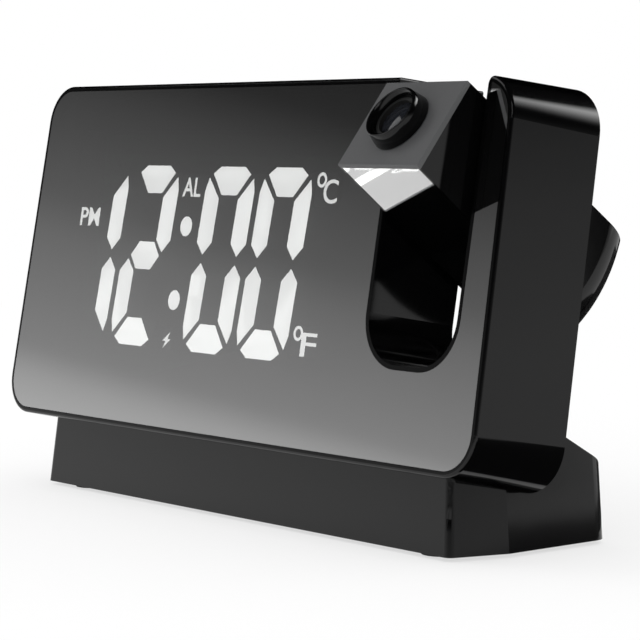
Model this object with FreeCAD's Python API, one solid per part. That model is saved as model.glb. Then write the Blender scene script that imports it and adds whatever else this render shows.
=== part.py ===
"""Projection alarm clock: a mirrored LED clock face leaning back on a saddle-shaped base,
with a projector arm that swings through a U-shaped slot at the right of the face.

All sizes are millimetres.  +Z is up, the clock face looks towards -Y, and X runs along the
face.  The origin is the middle of the bottom of the clock's bounding box, on the table.

The face, the shell and the boards are drawn in the "body frame": x along the face, y from
the front of the face to the back, z up the face from its bottom edge.  to_world() leans
that frame back.  The projector is drawn upright about its own pivot axis.
"""
import math
import os

import FreeCAD
import Part

V = FreeCAD.Vector
X_AXIS = V(1, 0, 0)
Y_AXIS = V(0, 1, 0)
Z_AXIS = V(0, 0, 1)

# Clock body
FACE_WIDTH = 186.0        # face width at half its height
FACE_HEIGHT = 86.2
BODY_DEPTH = 24.5         # front rim to back rim
CORNER_R = 9.5            # corners of the face outline
FACE_TAPER = 1.5          # degrees that each side of the face spreads towards its foot
SIDE_DRAFT = 2.8          # degrees that the side walls open towards the back
LEAN = 9.6                # degrees that the body leans back
FACE_LIFT = 19.1          # height of the face's bottom edge above the table
WALL = 2.0                # moulded walls of the shell
EDGE_R = 0.7              # rounded front edge of the shell
RIM = 1.3                 # band of shell round the mirror panel
SEAT_LEDGE = 1.6          # ledge that the mask and panel rest on
SEAT_T = 1.5
PANEL_T = 1.8             # acrylic half mirror
MASK_T = 1.2              # face plate of the light mask
FIT = 0.1                 # gap round a part that is laid into a recess

# Projector slot
SLOT_WIDTH = 29.9
SLOT_X = 68.25            # middle of the slot
SLOT_FLOOR = 22.6         # height of the slot's bottom above the face's bottom edge
SLOT_R = 11.0             # bottom corners of the U
SLOT_RIM = 1.0            # band of shell between the slot and the mirror panel
COLUMN_R = 2.2            # rounded top corner on the column side of the slot
SLOT_EDGE_R = 0.6         # rounded top corner on the display side

# Projector arm
ARM_WIDTH = 27.2
ARM_THICKNESS = 22.6      # at the lens end
ARM_TAPER = 1.0           # degrees that each broad face opens towards the tail
LENS_REACH = 25.2         # pivot to lens face
TAIL_GAP = 0.6            # tail to slot floor as it swings by
PIVOT_HEIGHT = 62.3       # pivot above the face's bottom edge
ARM_TILT = 62.1           # forward tilt from the stowed position, as shown
ARM_WALL = 1.8
ARM_PANEL_T = 1.5
ARM_PANEL_RIM = 0.6
LENS_PLATE_T = 1.2
PIN_R = 3.0
PIN_BORE_R = 1.6
PIN_HEAD_R = 4.4
PIN_HEAD_T = 1.2
PIN_TAIL = 1.6            # pin left behind the slot wall for its clip
RUN_FIT = 0.05            # radial clearance of a running fit
PRESS_FIT = 0.02
WASHER_R = 5.6
WASHER_GAP = 0.1
CLIP_R = 4.3
CLIP_T = 0.6
CLIP_GAP = 0.25

# Focusing lens
RING_R = 7.2
RING_HEIGHT = 4.8         # ring above the lens plate
RING_GAP = 0.25           # ring to lens plate
RING_WALL = 0.85
RING_NECK = 8.0           # neck of the ring below the lens plate
RING_FLUTES = 30
FLUTE_DEPTH = 0.22
RING_LIP = 0.75           # inner chamfer at the mouth
BARREL_WALL = 1.3
CELL_WALL = 0.8
CELL_LENGTH = 8.4
CELL_SET_BACK = 2.6       # ring mouth to front of the lens cell
LENS_EDGE_T = 1.6
LENS_CROWN = 0.9
FOCUS_TRAVEL = 0.6        # lens travel each way

# Light mask and digits
DIGIT_HEIGHT = 45.4
DIGIT_WIDTH = 20.4
DIGIT_MIDDLE = 43.2       # height of the digits' middle above the face's bottom edge
DIGIT_SLANT = 3.0         # degrees
STROKE_FLAT = 7.0         # height of a level segment
STROKE_TALL = 6.3         # width of an upright segment
SEGMENT_GAP = 0.95
DIGIT_PITCH = 22.5
COLON_PITCH = 31.8        # minutes tens to hours units, across the colon
FIRST_DIGIT_X = -63.6     # middle of the leading digit
COLON_R = 2.5
COLON_SPREAD = 18.3
MASK_BLOCK_T = 8.0        # depth of the light cells
MASK_BLOCK_LEFT = -79.0
MASK_BLOCK_RIGHT = 42.0
MASK_BLOCK_LOW = 13.0
MASK_BLOCK_HIGH = 75.0
DIFFUSER_T = 1.0
DIFFUSER_FIT = 0.05
LED_SIZE = 2.0
LED_T = 0.8
BOARD_T = 1.6

# Back of the body
COVER_T = 2.0
COVER_FIT = 0.2
COVER_SET_IN = 0.3
BOSS_R = 3.2
SCREW_R = 1.25
SCREW_HEAD_R = 2.5
SCREW_HEAD_T = 1.6
SCREW_LENGTH = 9.0
BUTTON_R = 3.4
BUTTON_FIT = 0.2
BUTTON_PROUD = 0.9
BUTTON_FLANGE = 0.8
BUTTON_FLANGE_T = 0.8
BUTTON_TRAVEL = 0.5
BUTTON_PITCH = 13.0
BUTTON_ROW_X = -46.0      # first button of the row on the back
BUTTON_ROW_HEIGHT = 58.0
BUTTON_NAMES = ["set", "alarm", "up", "down", "projector"]
SWITCH_SIZE = 4.5
SWITCH_T = 1.1
SWITCH_PLUNGER_R = 0.9
MAIN_BOARD_DROP = 4.0     # rear cover to main board
MAIN_BOARD_LEFT = -62.0
MAIN_BOARD_RIGHT = 30.0
MAIN_BOARD_LOW = 26.0
MAIN_BOARD_HIGH = 72.0
VENT_COUNT = 9
VENT_WIDTH = 1.6
VENT_LENGTH = 14.0
VENT_PITCH = 3.6
VENT_X = -4.0
VENT_LOW = 34.0

# Snooze bar
SNOOZE_LENGTH = 60.0
SNOOZE_WIDTH = 11.0
SNOOZE_X = -16.0
SNOOZE_GAP = 0.25
SNOOZE_TRAVEL = 0.9
SNOOZE_FLANGE = 1.2
SNOOZE_FLANGE_T = 1.0
SNOOZE_SEAT_GAP = 0.1

# Base
BASE_FRONT = 5.0          # front edge behind the face's bottom edge
BASE_DEPTH = 47.2
BASE_FRONT_HALF = 81.2    # half width at the front corners
BASE_SHOULDER_HALF = 84.4 # half width at the shoulder of the side faces
BASE_SHOULDER = 14.6      # shoulder behind the front edge
BASE_REAR_HALF = 81.7
BASE_FRONT_R = 1.8
BASE_REAR_R = 5.0
BASE_FRONT_DRAFT = 5.4    # degrees
BASE_SIDE_DRAFT = 5.0     # degrees
BASE_RIM_HEIGHT = 16.5    # where the sloping top meets the back wall
BASE_TOP_SLOPE = 29.0     # degrees
BASE_TOP_R = 6.0
BASE_WALL = 2.0
FOOT_GAP = 1.0            # base rim above the table
PLATE_T = 2.0
PLATE_FIT = 0.2
FOOT_R = 5.0
FOOT_SINK = 0.6
FOOT_X = 70.5
FOOT_INSET = 7.5          # foot middle from the base's front and back
BASE_BOSS_X = 72.0
BASE_BOSS_Y = 17.5        # boss middle from the base's front and back
MOUNT_X = 62.0            # screws that hold the body on the base
MOUNT_BOSS_HEIGHT = 9.0
HARNESS_R = 1.6
HARNESS_HOLE_R = 3.6

# Sockets, sounder and cell in the base
PORT_BOARD_Z = 5.2
PORT_BOARD_LEFT = -62.0
PORT_BOARD_RIGHT = -8.0
PORT_BOARD_DEPTH = 20.0
USB_A = (13.1, 5.7, 13.5)     # width, height and depth of the charging socket
USB_A_X = -24.0
USB_A_TONGUE = (11.2, 1.9, 8.0)
USB_C = (9.0, 3.3, 7.4)       # width, height and depth of the power inlet
USB_C_X = -48.0
USB_C_TONGUE = (6.7, 0.7, 4.5)
SOCKET_WALL = 0.35
SOCKET_SET_IN = 0.4
SOCKET_FIT = 0.2
SOUNDER_R = 9.0
SOUNDER_T = 3.6
SOUNDER_X = -34.0
SOUNDER_Y = 13.5              # middle behind the base's front
CELL_R = 10.0
CELL_T = 3.2
CELL_X = 42.0
CELL_Y = 24.0                 # middle behind the base's front
DOOR_R = 12.4
DOOR_LUG = 1.6
DOOR_LUG_T = 1.0
DOOR_LUG_ANGLE = 40.0
DOOR_GAP = 0.08
DOOR_SWING = 45.0
HOLDER_WALL = 1.4
COIN_SLOT = (12.0, 1.8, 0.8)

# Fitted sizes
DRAFT = math.tan(math.radians(SIDE_DRAFT))
TAPER = math.tan(math.radians(FACE_TAPER))
PIVOT_DEPTH = BODY_DEPTH / 2
TAIL_R = PIVOT_HEIGHT - SLOT_FLOOR - TAIL_GAP
ARM_CORNER_R = SLOT_R - (SLOT_WIDTH - ARM_WIDTH) / 2
MASK_BACK = PANEL_T + MASK_T
CAVITY_FRONT = MASK_BACK + SEAT_T
COVER_BACK = BODY_DEPTH - COVER_SET_IN
COVER_FRONT = COVER_BACK - COVER_T
MAIN_BOARD_BACK = COVER_FRONT - MAIN_BOARD_DROP
MAIN_BOARD_FRONT = MAIN_BOARD_BACK - BOARD_T
DISPLAY_BOARD_FRONT = PANEL_T + MASK_BLOCK_T
DISPLAY_BOARD_BACK = DISPLAY_BOARD_FRONT + BOARD_T
BASE_BACK = BASE_FRONT + BASE_DEPTH
NECK_R = RING_R - RING_WALL - 0.15
CELL_OUTER_R = NECK_R - RING_WALL - RUN_FIT
LENS_R = CELL_OUTER_R - CELL_WALL - PRESS_FIT
BARREL_R = NECK_R + RUN_FIT


def box(x, y, z):
    """Block between three (low, high) pairs."""
    return Part.makeBox(x[1] - x[0], y[1] - y[0], z[1] - z[0], V(x[0], y[0], z[0]))


def rod(radius, start, end):
    """Round bar from one point to another."""
    run = end - start
    return Part.makeCylinder(radius, run.Length, start, run)


def tube(outer, inner, start, end):
    """Round tube from one point to another."""
    return rod(outer, start, end).cut(rod(inner, start, end))


def round_wire(corners, radii, lift):
    """Closed wire of straight runs and tangent arcs; lift turns (a, b) into a point."""
    count = len(corners)
    edges = []
    cuts = []
    for i in range(count):
        here = corners[i]
        before = corners[i - 1]
        after = corners[(i + 1) % count]
        back = math.atan2(before[1] - here[1], before[0] - here[0])
        ahead = math.atan2(after[1] - here[1], after[0] - here[0])
        half = abs(math.remainder(ahead - back, 2 * math.pi)) / 2
        reach = radii[i] / math.tan(half)
        middle = back + math.remainder(ahead - back, 2 * math.pi) / 2
        bulge = radii[i] / math.sin(half) - radii[i]
        entry = (here[0] + reach * math.cos(back), here[1] + reach * math.sin(back))
        crown = (here[0] + bulge * math.cos(middle), here[1] + bulge * math.sin(middle))
        leave = (here[0] + reach * math.cos(ahead), here[1] + reach * math.sin(ahead))
        cuts.append((entry, crown, leave, radii[i]))
    for i in range(count):
        entry, crown, leave, radius = cuts[i]
        if radius > 0:
            edges.append(Part.Arc(lift(*entry), lift(*crown), lift(*leave)).toShape())
        following = cuts[(i + 1) % count][0]
        edges.append(Part.LineSegment(lift(*leave), lift(*following)).toShape())
    return Part.Wire(edges)


def prism(wire, along):
    """Solid swept straight along a vector from a flat closed wire."""
    return Part.Face(wire).extrude(along)


def to_world(point):
    """Point of the body frame, leaned back and lifted onto the base."""
    lean = math.radians(LEAN)
    back = point.z * math.sin(lean) + point.y * math.cos(lean)
    up = point.z * math.cos(lean) - point.y * math.sin(lean)
    return V(point.x, back, FACE_LIFT + up)


def lean_back(shape):
    """Shape of the body frame, leaned back and lifted onto the base."""
    placed = shape.copy()
    placed.rotate(V(0, 0, 0), X_AXIS, -LEAN)
    placed.translate(V(0, 0, FACE_LIFT))
    return placed


def tilt_arm(shape):
    """Shape drawn upright about the pivot, tilted forward in the slot."""
    placed = shape.copy()
    placed.rotate(V(0, 0, 0), X_AXIS, ARM_TILT - LEAN)
    placed.translate(to_world(V(SLOT_X, PIVOT_DEPTH, PIVOT_HEIGHT)))
    return placed


def face_wire(depth, inset):
    """Rounded, slightly tapered outline of the body at one depth."""
    grow = DRAFT * depth - inset
    foot = FACE_WIDTH / 2 + TAPER * (FACE_HEIGHT / 2 + grow) + grow
    head = FACE_WIDTH / 2 - TAPER * (FACE_HEIGHT / 2 + grow) + grow
    top = FACE_HEIGHT + grow
    corners = [(foot, -grow), (head, top), (-head, top), (-foot, -grow)]
    radii = [CORNER_R + grow] * 4
    return round_wire(corners, radii, lambda a, b: V(a, depth, b))


def face_block(front, back, inset):
    """Solid of the body outline between two depths."""
    return Part.makeLoft([face_wire(front, inset), face_wire(back, inset)], True, True)


def slot_wire(depth, grow, column_r, display_r):
    """U outline of the slot at one depth, with its mouth above the body."""
    half = SLOT_WIDTH / 2 + grow
    top = FACE_HEIGHT + DRAFT * depth
    above = top + CORNER_R
    left = SLOT_X - half
    right = SLOT_X + half
    floor = SLOT_FLOOR - grow
    bend = SLOT_R + grow
    turn = math.sqrt(0.5)
    lift = lambda a, b: V(a, depth, b)
    line = lambda p, q: Part.LineSegment(lift(*p), lift(*q)).toShape()
    arc = lambda p, q, r: Part.Arc(lift(*p), lift(*q), lift(*r)).toShape()
    low = floor + bend
    sway = bend * (1 - turn)
    edges = [
        line((left, top - display_r), (left, low)),
        arc((left, low), (left + sway, floor + sway), (left + bend, floor)),
        line((left + bend, floor), (right - bend, floor)),
        arc((right - bend, floor), (right - sway, floor + sway), (right, low)),
        line((right, low), (right, top - column_r)),
        arc((right, top - column_r),
            (right + column_r * (1 - turn), top - column_r * (1 - turn)),
            (right + column_r, top)),
        line((right + column_r, top), (right + column_r, above)),
        line((right + column_r, above), (left - display_r, above)),
        line((left - display_r, above), (left - display_r, top)),
        arc((left - display_r, top),
            (left - display_r * (1 - turn), top - display_r * (1 - turn)),
            (left, top - display_r)),
    ]
    return Part.Wire(edges)


def slot_block(front, back, grow, column_r, display_r):
    """Solid of the slot's outline between two depths."""
    wires = [slot_wire(depth, grow, column_r, display_r) for depth in (front, back)]
    return Part.makeLoft(wires, True, True)


def cover_screw_spots():
    """Where the rear cover's screws go, in x and height."""
    inner = FACE_WIDTH / 2 - WALL - BOSS_R
    high = FACE_HEIGHT - WALL - BOSS_R
    low = SLOT_FLOOR - BOSS_R
    slot_left = SLOT_X - SLOT_WIDTH / 2 - WALL
    return [(-inner, low), (-inner, high - BOSS_R), (slot_left - BOSS_R, high), (inner, low)]


def body_shell():
    """Shell with walls, panel recess, slot walls, bosses and the openings at top and foot."""
    outer = face_block(0, BODY_DEPTH, 0)
    front_edges = [e for e in outer.Edges if max(abs(v.Point.y) for v in e.Vertexes) < 1e-6]
    outer = outer.makeFillet(EDGE_R, front_edges)
    reach = BODY_DEPTH + 1
    keep = slot_block(-1, reach, WALL, 0.01, 0.01)
    lip = slot_block(-1, reach, SLOT_RIM, 0.01, 0.01)
    recess = face_block(-1, MASK_BACK, RIM).cut(lip)
    window = face_block(0, CAVITY_FRONT + 0.5, RIM + SEAT_LEDGE).cut(keep)
    cavity = face_block(CAVITY_FRONT, reach, WALL).cut(keep)
    shell = outer.cut(recess).cut(window).cut(cavity)
    shell = shell.cut(slot_block(-1, reach, 0, COLUMN_R, SLOT_EDGE_R))
    for x, z in cover_screw_spots():
        post = rod(BOSS_R, V(x, CAVITY_FRONT - SEAT_T, z), V(x, COVER_FRONT, z))
        clear = window.common(post)
        shell = shell.fuse(post.cut(clear))
        shell = shell.cut(rod(SCREW_R, V(x, COVER_FRONT - SCREW_LENGTH, z), V(x, reach, z)))
    for side in (-1, 1):
        foot = V(side * MOUNT_X, PIVOT_DEPTH, -DRAFT * PIVOT_DEPTH)
        boss = rod(BOSS_R, V(foot.x, foot.y, 0.5), V(foot.x, foot.y, MOUNT_BOSS_HEIGHT))
        shell = shell.fuse(boss)
        shell = shell.cut(rod(SCREW_R, foot - Z_AXIS, V(foot.x, foot.y, MOUNT_BOSS_HEIGHT)))
    pass_hole = rod(HARNESS_HOLE_R, V(0, PIVOT_DEPTH, -BODY_DEPTH * DRAFT - 1),
                    V(0, PIVOT_DEPTH, WALL + 1))
    shell = shell.cut(pass_hole)
    bore_start = V(SLOT_X - SLOT_WIDTH / 2 - WALL - 1, PIVOT_DEPTH, PIVOT_HEIGHT)
    bore_end = V(SLOT_X + SLOT_WIDTH / 2 + WALL + 1, PIVOT_DEPTH, PIVOT_HEIGHT)
    shell = shell.cut(rod(PIN_R + RUN_FIT, bore_start, bore_end))
    shell = shell.cut(snooze_block(SNOOZE_GAP, FACE_HEIGHT - WALL - 1, FACE_HEIGHT + WALL))
    return shell.removeSplitter()


def snooze_block(grow, low, high):
    """Pill-ended block of the snooze bar's outline between two heights."""
    half = SNOOZE_LENGTH / 2 + grow
    deep = SNOOZE_WIDTH / 2 + grow
    corners = [(SNOOZE_X - half, PIVOT_DEPTH - deep), (SNOOZE_X + half, PIVOT_DEPTH - deep),
               (SNOOZE_X + half, PIVOT_DEPTH + deep), (SNOOZE_X - half, PIVOT_DEPTH + deep)]
    wire = round_wire(corners, [deep * 0.6] * 4, lambda a, b: V(a, b, low))
    return prism(wire, V(0, 0, high - low))


def snooze_bar():
    """Press bar flush with the sloping top of the shell, held in by its flange."""
    reach = BODY_DEPTH + 1
    cap = snooze_block(0, FACE_HEIGHT - WALL - SNOOZE_SEAT_GAP - 0.01, FACE_HEIGHT + WALL)
    cap = cap.common(face_block(-1, reach, 0))
    under = FACE_HEIGHT - WALL - SNOOZE_SEAT_GAP
    flange = snooze_block(SNOOZE_FLANGE, under - SNOOZE_FLANGE_T, under)
    stem_foot = MAIN_BOARD_HIGH + SWITCH_SIZE + SNOOZE_TRAVEL + SNOOZE_SEAT_GAP
    stem_y = MAIN_BOARD_FRONT - SWITCH_SIZE / 2
    stem = box((SNOOZE_X - 2, SNOOZE_X + 2), (stem_y - 1.2, stem_y + 1.2),
               (stem_foot, under - SNOOZE_FLANGE_T + 0.01))
    return cap.fuse(flange).fuse(stem).removeSplitter()


def mirror_panel():
    """Half-mirror acrylic front, cut round the slot."""
    panel = face_block(0, PANEL_T, RIM + FIT)
    return panel.cut(slot_block(-1, PANEL_T + 1, SLOT_RIM + FIT, 0.01, 0.01))


def segment_points():
    """The seven segment outlines of one upright digit, about its middle."""
    half_w = DIGIT_WIDTH / 2
    half_h = DIGIT_HEIGHT / 2
    inner = half_w - STROKE_TALL
    throat = half_h - STROKE_FLAT
    nib = half_w - STROKE_TALL / 2
    bevel = 1.8
    top = [(-inner + SEGMENT_GAP - 0.2, throat), (inner - SEGMENT_GAP + 0.2, throat),
           (half_w - bevel - SEGMENT_GAP + 0.3, half_h - bevel), (half_w - 2.9 * bevel, half_h),
           (-half_w + 2.9 * bevel, half_h), (-half_w + bevel + SEGMENT_GAP - 0.3, half_h - bevel)]
    upper = [(nib, SEGMENT_GAP), (half_w, STROKE_FLAT / 2 + SEGMENT_GAP - 0.4),
             (half_w, half_h - STROKE_FLAT + SEGMENT_GAP), (half_w - 0.6 * bevel, half_h - 1.5 * bevel),
             (inner, throat - SEGMENT_GAP), (inner, STROKE_FLAT / 2 + SEGMENT_GAP - 0.4)]
    flat = STROKE_FLAT / 2
    middle = [(-inner + SEGMENT_GAP - 0.3, -flat), (inner - SEGMENT_GAP + 0.3, -flat),
              (nib - SEGMENT_GAP + 0.2, 0), (inner - SEGMENT_GAP + 0.3, flat),
              (-inner + SEGMENT_GAP - 0.3, flat), (-nib + SEGMENT_GAP - 0.2, 0)]
    flip_x = lambda points: [(-a, b) for a, b in points]
    flip_z = lambda points: [(a, -b) for a, b in points]
    return {"top": top, "upper_right": upper, "upper_left": flip_x(upper), "middle": middle,
            "lower_right": flip_z(upper), "lower_left": flip_x(flip_z(upper)),
            "bottom": flip_z(top)}


def digit_middles():
    """Middle of each of the four digits along the face."""
    tens = FIRST_DIGIT_X
    units = tens + DIGIT_PITCH
    return [tens, units, units + COLON_PITCH, units + COLON_PITCH + DIGIT_PITCH]


def light_cells(front, back, shrink):
    """Solids of every segment and colon dot between two depths, a little smaller by shrink."""
    cells = []
    slant = math.tan(math.radians(DIGIT_SLANT))
    for index, middle in enumerate(digit_middles()):
        for name, points in segment_points().items():
            if index == 0 and name not in ("upper_right", "lower_right"):
                continue
            wire = Part.makePolygon([V(middle + a + b * slant, front, DIGIT_MIDDLE + b)
                                     for a, b in points + points[:1]])
            if shrink > 0:
                wire = wire.makeOffset2D(-shrink)
            cells.append(prism(wire, V(0, back - front, 0)))
    colon_x = (digit_middles()[1] + digit_middles()[2]) / 2
    for side in (-0.5, 0.5):
        x = colon_x + side * COLON_SPREAD * slant
        z = DIGIT_MIDDLE - 1.4 + side * COLON_SPREAD
        cells.append(rod(COLON_R - shrink, V(x, front, z), V(x, back, z)))
    return cells


def icon_cells(front, back, shrink):
    """Solids of the five small indicator windows between two depths."""
    first, units, third, last = digit_middles()
    left = first - DIGIT_WIDTH / 2
    right = last + DIGIT_WIDTH / 2
    high = DIGIT_MIDDLE + DIGIT_HEIGHT / 2
    low = DIGIT_MIDDLE - DIGIT_HEIGHT / 2
    colon_x = (units + third) / 2
    windows = [(left - 0.9, left + 9.7, high - 16.2, high - 10.4),
               (colon_x - 4.2, colon_x + 5.0, high - 8.2, high - 2.0),
               (right + 1.6, right + 10.4, high - 9.0, high - 0.9),
               (right + 0.1, right + 10.2, low + 1.2, low + 9.0),
               (colon_x - 3.9, colon_x + 0.9, low - 0.2, low + 5.2)]
    return [box((a + shrink, b - shrink), (front, back), (c + shrink, d - shrink))
            for a, b, c, d in windows]


def segment_mask():
    """Black light mask: a plate behind the whole panel with a deep block of light cells."""
    plate = face_block(PANEL_T, MASK_BACK, RIM + FIT)
    plate = plate.cut(slot_block(-1, MASK_BACK + 1, SLOT_RIM + FIT, 0.01, 0.01))
    block = box((MASK_BLOCK_LEFT, MASK_BLOCK_RIGHT), (MASK_BACK - 0.1, DISPLAY_BOARD_FRONT),
                (MASK_BLOCK_LOW, MASK_BLOCK_HIGH))
    mask = plate.fuse(block).removeSplitter()
    cells = light_cells(0, DISPLAY_BOARD_FRONT + 1, 0) + icon_cells(0, DISPLAY_BOARD_FRONT + 1, 0)
    return mask.cut(cells)


def display_leds():
    """One or two light-emitting chips under each cell, on the display board."""
    chips = []
    for cell in light_cells(0, 1, 0) + icon_cells(0, 1, 0):
        middle = cell.BoundBox.Center
        half = LED_SIZE / 2
        chips.append(box((middle.x - half, middle.x + half),
                         (DISPLAY_BOARD_FRONT - LED_T, DISPLAY_BOARD_FRONT),
                         (middle.z - half, middle.z + half)))
    return Part.makeCompound(chips)


def display_board():
    """Board that carries the lights, laid against the back of the mask."""
    return box((MASK_BLOCK_LEFT, MASK_BLOCK_RIGHT), (DISPLAY_BOARD_FRONT, DISPLAY_BOARD_BACK),
               (MASK_BLOCK_LOW, MASK_BLOCK_HIGH))


def button_spots():
    """Middle of each rear button, in x and height."""
    return [(BUTTON_ROW_X + i * BUTTON_PITCH, BUTTON_ROW_HEIGHT) for i in range(len(BUTTON_NAMES))]


def main_board_posts():
    """Corners where the main board is screwed to the rear cover."""
    inset = BOSS_R
    return [(x, z) for x in (MAIN_BOARD_LEFT + inset, MAIN_BOARD_RIGHT - inset)
            for z in (MAIN_BOARD_LOW + inset, MAIN_BOARD_HIGH - inset)]


def rear_cover():
    """Cover set into the back, with button holes, vents, screw seats and board posts."""
    cover = face_block(COVER_FRONT, COVER_BACK, WALL + COVER_FIT)
    keep = slot_block(-1, BODY_DEPTH + 1, WALL + COVER_FIT, 0.01, 0.01)
    cover = cover.cut(keep)
    for x, z in button_spots():
        cover = cover.cut(rod(BUTTON_R + BUTTON_FIT, V(x, 0, z), V(x, BODY_DEPTH + 1, z)))
    for i in range(VENT_COUNT):
        x = VENT_X + (i - (VENT_COUNT - 1) / 2) * VENT_PITCH
        slot = box((x - VENT_WIDTH / 2, x + VENT_WIDTH / 2), (0, BODY_DEPTH + 1),
                   (VENT_LOW, VENT_LOW + VENT_LENGTH))
        cover = cover.cut(slot)
    for x, z in cover_screw_spots():
        cover = cover.cut(rod(SCREW_R + PRESS_FIT, V(x, 0, z), V(x, BODY_DEPTH + 1, z)))
        seat = V(x, COVER_BACK - SCREW_HEAD_T, z)
        cover = cover.cut(rod(SCREW_HEAD_R + FIT, seat, V(x, BODY_DEPTH + 1, z)))
    for x, z in main_board_posts():
        cover = cover.fuse(rod(BOSS_R, V(x, MAIN_BOARD_BACK, z), V(x, COVER_FRONT + 0.5, z)))
        cover = cover.cut(rod(SCREW_R * 0.7, V(x, MAIN_BOARD_BACK, z), V(x, COVER_FRONT, z)))
    return cover.removeSplitter()


def main_board():
    """Clock board on the rear cover's posts."""
    board = box((MAIN_BOARD_LEFT, MAIN_BOARD_RIGHT), (MAIN_BOARD_FRONT, MAIN_BOARD_BACK),
                (MAIN_BOARD_LOW, MAIN_BOARD_HIGH))
    for x, z in main_board_posts():
        board = board.cut(rod(SCREW_R * 0.7 + PRESS_FIT, V(x, 0, z), V(x, BODY_DEPTH, z)))
    return board


def board_screws():
    """Four screws that hold the main board to the cover's posts."""
    screws = []
    for x, z in main_board_posts():
        shank = rod(SCREW_R * 0.7 - PRESS_FIT, V(x, MAIN_BOARD_FRONT - 0.1, z), V(x, COVER_FRONT - 0.3, z))
        head = rod(SCREW_HEAD_R * 0.8, V(x, MAIN_BOARD_FRONT - 1.2, z), V(x, MAIN_BOARD_FRONT, z))
        screws.append(shank.fuse(head))
    return Part.makeCompound(screws)


def key_switches():
    """Push switches on the back of the main board, one under each rear button."""
    switches = []
    half = SWITCH_SIZE / 2
    for x, z in button_spots():
        body = box((x - half, x + half), (MAIN_BOARD_BACK, MAIN_BOARD_BACK + SWITCH_T),
                   (z - half, z + half))
        tip = button_inner_end() - BUTTON_TRAVEL - FIT
        switches.append(body.fuse(rod(SWITCH_PLUNGER_R, V(x, MAIN_BOARD_BACK + 0.5, z), V(x, tip, z))))
    return Part.makeCompound(switches)


def snooze_switch():
    """Side-pressed switch at the top edge of the main board, under the snooze bar's stem."""
    half = SWITCH_SIZE / 2
    return box((SNOOZE_X - half, SNOOZE_X + half), (MAIN_BOARD_FRONT - SWITCH_SIZE, MAIN_BOARD_FRONT),
               (MAIN_BOARD_HIGH - 1.0, MAIN_BOARD_HIGH + SWITCH_SIZE))


def button_inner_end():
    """Depth of the inner end of a rear button."""
    return COVER_FRONT - FIT - BUTTON_FLANGE_T - 0.6


def rear_button(index):
    """Domed rear button with the flange that keeps it behind the cover."""
    x, z = button_spots()[index]
    inner = button_inner_end()
    outer = COVER_BACK + BUTTON_PROUD
    cap = rod(BUTTON_R, V(x, COVER_FRONT - FIT - 0.1, z), V(x, outer, z))
    rim = [e for e in cap.Edges if abs(e.BoundBox.YMin - outer) < 1e-6 and e.Closed]
    cap = cap.makeFillet(BUTTON_PROUD * 0.6, rim)
    flange = rod(BUTTON_R + BUTTON_FLANGE, V(x, COVER_FRONT - FIT - BUTTON_FLANGE_T, z),
                 V(x, COVER_FRONT - FIT, z))
    stem = rod(BUTTON_R * 0.5, V(x, inner, z), V(x, COVER_FRONT - FIT - 0.5, z))
    return cap.fuse(flange).fuse(stem).removeSplitter()


def cover_screws():
    """Screws that hold the rear cover to the shell's bosses."""
    screws = []
    for x, z in cover_screw_spots():
        head_front = COVER_BACK - SCREW_HEAD_T
        head = rod(SCREW_HEAD_R, V(x, head_front, z), V(x, COVER_BACK - 0.2, z))
        shank = rod(SCREW_R - PRESS_FIT, V(x, COVER_FRONT - SCREW_LENGTH + 1, z), V(x, head_front + 0.1, z))
        cross = box((x - 1.5, x + 1.5), (COVER_BACK - 1.0, BODY_DEPTH), (z - 0.3, z + 0.3))
        other = box((x - 0.3, x + 0.3), (COVER_BACK - 1.0, BODY_DEPTH), (z - 1.5, z + 1.5))
        screws.append(head.fuse(shank).cut(cross).cut(other))
    return Part.makeCompound(screws)


def arm_block(shrink):
    """Arm outline drawn upright: a disc with rounded rim, cut by its two broad faces."""
    half = ARM_WIDTH / 2 - shrink
    outer = TAIL_R - shrink
    bend = ARM_CORNER_R - shrink
    corners = [(-half, 0), (half, 0), (half, outer), (-half, outer)]
    wire = round_wire(corners, [0, 0, bend, bend], lambda a, b: V(a, 0, b))
    disc = Part.Face(wire).revolve(V(0, 0, 0), X_AXIS, 360)
    spread = math.tan(math.radians(ARM_TAPER))
    broad = lambda z: ARM_THICKNESS / 2 - shrink + (LENS_REACH - z) * spread
    top = LENS_REACH
    low = -TAIL_R - 1
    side = Part.makePolygon([V(-half - 1, -broad(top), top), V(-half - 1, broad(top), top),
                             V(-half - 1, broad(low), low), V(-half - 1, -broad(low), low),
                             V(-half - 1, -broad(top), top)])
    return disc.common(prism(side, V(2 * half + 2, 0, 0)))


def below(height):
    """Large block under a height of the upright arm."""
    far = 3 * TAIL_R
    return box((-far, far), (-far, far), (-far, height))


def arm_panel_wire(depth, inset):
    """Outline of the arm's mirror panel on its broad front face."""
    half = ARM_WIDTH / 2 - inset
    low = -math.sqrt(TAIL_R ** 2 - (ARM_THICKNESS / 2) ** 2) + inset + 0.4
    high = LENS_REACH - LENS_PLATE_T
    corners = [(-half, low), (half, low), (half, high), (-half, high)]
    bend = ARM_CORNER_R - inset
    return round_wire(corners, [bend, bend, 0, 0], lambda a, b: V(a, depth, b))


def arm_panel_slab(inset, depth):
    """Slab of the mirror panel, lying along the tapered front face of the arm."""
    slab = prism(arm_panel_wire(0, inset), V(0, depth + 5, 0))
    slab.translate(V(0, -ARM_THICKNESS / 2 - 5, 0))
    slab.rotate(V(0, -ARM_THICKNESS / 2, LENS_REACH), X_AXIS, ARM_TAPER)
    return slab


def arm_cavity():
    """Hollow of the projector case."""
    hollow = arm_block(ARM_WALL)
    front = box((-ARM_WIDTH, ARM_WIDTH), (-ARM_THICKNESS, -ARM_THICKNESS / 2 + ARM_PANEL_T + 1.2),
                (-2 * TAIL_R, 2 * TAIL_R))
    return hollow.cut(front)


def flange_top():
    """Height where the optics carrier's flange meets the lens plate."""
    return LENS_REACH - LENS_PLATE_T


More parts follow.
